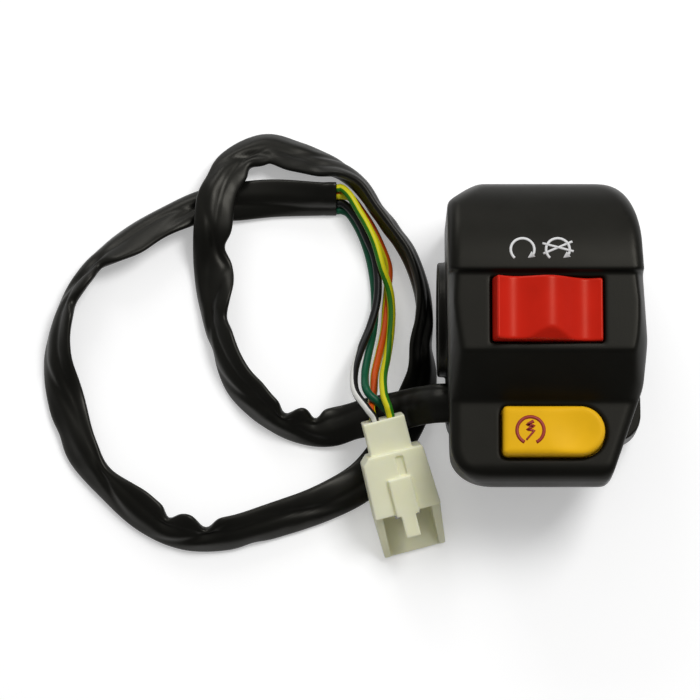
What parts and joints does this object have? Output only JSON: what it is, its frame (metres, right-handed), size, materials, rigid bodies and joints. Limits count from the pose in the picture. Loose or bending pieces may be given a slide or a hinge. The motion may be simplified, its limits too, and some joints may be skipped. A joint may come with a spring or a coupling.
{
  "type": "handlebar switch cluster",
  "caption": "Clamshell handlebar switch housing with a red run and off rocker, a yellow start button, a sleeved loom and a flat plug.",
  "frame": {"origin": "on the handlebar's axis, midway along the housing", "axes": "+X along the handlebar away from the loom, +Y from the start button towards the rocker, +Z out of the front panel"},
  "size_m": [0.1392, 0.101, 0.0458],
  "materials": {
    "shell_black": "fine moulded grain, satin black",
    "rocker_red": "glossy moulded red",
    "button_yellow": "glossy moulded yellow",
    "zinc_steel": "bright zinc plated",
    "spring_steel": "drawn wire",
    "brass": "stamped or turned, bare",
    "base_brown": "phenolic board",
    "plunger_white": "acetal",
    "sleeve_black": "soft vinyl, dull sheen",
    "tie_black": "nylon",
    "wire_black": "vinyl insulation, black with a white stripe",
    "wire_green": "vinyl insulation, green",
    "wire_yellow_red": "vinyl insulation, yellow with a red stripe",
    "wire_yellow_green": "vinyl insulation, yellow with a green stripe",
    "plug_nylon": "natural nylon",
    "tinned": "tin plated"
  },
  "bodies": {
    "housing": {"front_housing": "shell_black", "rear_housing": "shell_black", "clamp_screws": "zinc_steel", "threaded_inserts": "brass", "stop_base": "base_brown", "stop_base_screws": "zinc_steel", "stop_common_terminal": "brass", "stop_live_terminal": "brass", "stop_leads": "wire_green", "start_return_spring": "spring_steel", "start_base": "base_brown", "start_base_screws": "zinc_steel", "start_terminals": "brass", "start_leads": "wire_yellow_red", "loom_tie": "tie_black", "loom_sleeve": "sleeve_black", "wire_black_white": "wire_black", "wire_green": "wire_green", "wire_yellow_red": "wire_yellow_red", "wire_yellow_green": "wire_yellow_green", "plug_housing": "plug_nylon", "plug_terminals": "tinned"},
    "rocker": {"stop_rocker": "rocker_red", "rocker_pivot_pins": "zinc_steel", "plunger_spring": "spring_steel"},
    "plunger": {"rocker_plunger": "plunger_white"},
    "tumbler": {"tumbler_contact": "brass"},
    "button": {"start_button": "button_yellow", "start_bridge": "brass"}
  },
  "joints": [
    {"name": "stop_rocker_tilt", "type": "hinge", "parent": "housing", "child": "rocker", "pos_m": [0, -0.0023, 0.025], "axis": [0, -1, 0], "range_deg": [0, 18]},
    {"name": "plunger_slide", "type": "slide", "parent": "rocker", "child": "plunger", "axis": [0.1564, 0, 0.9877], "range_m": [0, 0.0005], "stiffness_N_per_m": 1500, "springref_m": -0.0005, "deforming": ["plunger_spring"]},
    {"name": "tumbler_tilt", "type": "hinge", "parent": "housing", "child": "tumbler", "pos_m": [0, -0.0023, 0.0169], "axis": [0, 1, 0], "range_deg": [0, 14]},
    {"name": "start_press", "type": "slide", "parent": "housing", "child": "button", "axis": [0, 0, -1], "range_m": [0, 0.003], "stiffness_N_per_m": 700, "springref_m": -0.0015, "deforming": ["start_return_spring"]}
  ],
  "couplings": [
    {"joint": "tumbler_tilt", "follows": "stop_rocker_tilt", "ratio": 0.77778}
  ]
}
